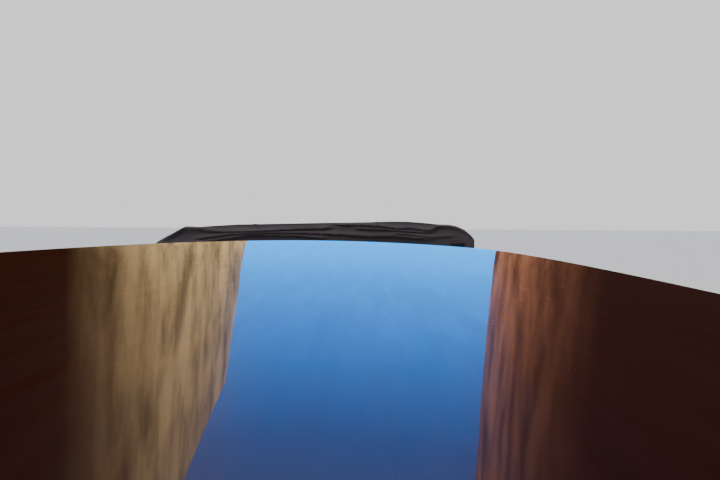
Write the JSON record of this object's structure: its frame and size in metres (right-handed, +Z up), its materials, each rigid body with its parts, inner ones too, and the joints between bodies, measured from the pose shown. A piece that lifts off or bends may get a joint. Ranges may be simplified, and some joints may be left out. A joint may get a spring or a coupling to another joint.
{
  "type": "cabin water taxi",
  "caption": "Canal water taxi with varnished planked hull and decks, glazed cabin under a long cambered roof, open helm with windscreen and canvas spray hood, aft seating well.",
  "frame": {"origin": "on the centreline at the waterline, 4.4 m ahead of the transom's inner face", "axes": "+Y forward along the boat to the stem, +X to starboard, +Z up"},
  "size_m": [2.1684, 9.092, 2.402],
  "materials": {
    "hull_varnish": "varnished mahogany, gloss",
    "deck_varnish": "varnished mahogany planks with pale seams, gloss",
    "roof_varnish": "dark red-brown mahogany under a mirror-gloss varnish",
    "bottom_paint": "matt dark red bottom paint",
    "sole_planks": "oiled planks, satin",
    "bright_steel": "polished stainless steel",
    "bronze": "dull cast bronze",
    "seat_leather": "cream leather, satin",
    "hood_canvas": "dark grey-brown waterproof canvas, matt",
    "engine_paint": "grey-green engine enamel",
    "clear_glass": "clear safety glass"
  },
  "bodies": {
    "boat": {"hull_bottom": "bottom_paint", "hull_side_starboard": "hull_varnish", "hull_side_port": "hull_varnish", "transom": "hull_varnish", "keel_and_stem": "hull_varnish", "foredeck": "deck_varnish", "aft_deck": "deck_varnish", "side_deck_starboard": "deck_varnish", "side_deck_port": "deck_varnish", "rub_rail_starboard": "hull_varnish", "rub_rail_port": "hull_varnish", "cabin_side_starboard": "hull_varnish", "cabin_side_port": "hull_varnish", "side_glass_starboard": "clear_glass", "side_glass_port": "clear_glass", "fore_bulkhead": "hull_varnish", "fore_bulkhead_glass_starboard": "clear_glass", "fore_bulkhead_glass_port": "clear_glass", "aft_bulkhead": "hull_varnish", "aft_bulkhead_glass_starboard": "clear_glass", "aft_bulkhead_glass_port": "clear_glass", "roof": "roof_varnish", "cabin_sole": "sole_planks", "helm_sole": "sole_planks", "aft_sole": "sole_planks", "helm_coaming": "hull_varnish", "aft_coaming": "hull_varnish", "cabin_bench_starboard": "hull_varnish", "cabin_bench_port": "hull_varnish", "cabin_seat_starboard": "seat_leather", "cabin_seat_port": "seat_leather", "aft_bench": "hull_varnish", "aft_seat": "seat_leather", "helm_seat": "seat_leather", "cabin_steps": "sole_planks", "helm_console": "hull_varnish", "windscreen_frame": "hull_varnish", "windscreen_glass": "clear_glass", "canvas_hood": "hood_canvas", "hood_bow": "bright_steel", "grab_rail_starboard": "bright_steel", "grab_rail_port": "bright_steel", "bow_bitt": "bright_steel", "stern_cleat_starboard": "bright_steel", "stern_cleat_port": "bright_steel", "stern_staff": "hull_varnish", "engine": "engine_paint", "propeller_shaft": "bright_steel", "shaft_strut": "bronze"},
    "steering_wheel": {"steering_wheel": "bright_steel"},
    "rudder": {"rudder": "bronze"},
    "propeller": {"propeller": "bronze"},
    "fore_door": {"fore_door": "hull_varnish", "fore_door_glass": "clear_glass"},
    "aft_door_starboard": {"aft_door_starboard": "hull_varnish", "aft_door_glass_starboard": "clear_glass"},
    "aft_door_port": {"aft_door_port": "hull_varnish", "aft_door_glass_port": "clear_glass"},
    "bow_hatch": {"bow_hatch": "deck_varnish"},
    "engine_hatch": {"engine_hatch": "deck_varnish"}
  },
  "joints": [
    {"name": "steering_wheel_turn", "type": "hinge", "parent": "boat", "child": "steering_wheel", "pos_m": [-0.21, 1.452, 0.905], "axis": [0, -0.8829, 0.4695], "range_deg": [-540, 540]},
    {"name": "rudder_turn", "type": "hinge", "parent": "boat", "child": "rudder", "pos_m": [0, -4.13, -0.5], "axis": [0, 0, 1], "range_deg": [-35, 35]},
    {"name": "propeller_spin", "type": "hinge", "parent": "boat", "child": "propeller", "pos_m": [0, -3.89, -0.562], "axis": [0, 0.9952, 0.0976], "continuous": true},
    {"name": "fore_door_hinge", "type": "hinge", "parent": "boat", "child": "fore_door", "pos_m": [0.3194, 0.715, 0.9], "axis": [0, 0, -1], "range_deg": [0, 90]},
    {"name": "aft_door_starboard_hinge", "type": "hinge", "parent": "boat", "child": "aft_door_starboard", "pos_m": [0.3194, -2.05, 0.8], "axis": [0, 0, 1], "range_deg": [0, 95]},
    {"name": "aft_door_port_hinge", "type": "hinge", "parent": "boat", "child": "aft_door_port", "pos_m": [-0.3194, -2.05, 0.8], "axis": [0, 0, -1], "range_deg": [0, 95]},
    {"name": "bow_hatch_hinge", "type": "hinge", "parent": "boat", "child": "bow_hatch", "pos_m": [0, 3.22, 0.9375], "axis": [-1, 0, 0], "range_deg": [0, 80]},
    {"name": "engine_hatch_hinge", "type": "hinge", "parent": "boat", "child": "engine_hatch", "pos_m": [0, -3.62, 0.7285], "axis": [-1, 0, 0], "range_deg": [0, 75]}
  ],
  "couplings": [
    {"joint": "steering_wheel_turn", "follows": "rudder_turn", "ratio": 15.4}
  ]
}
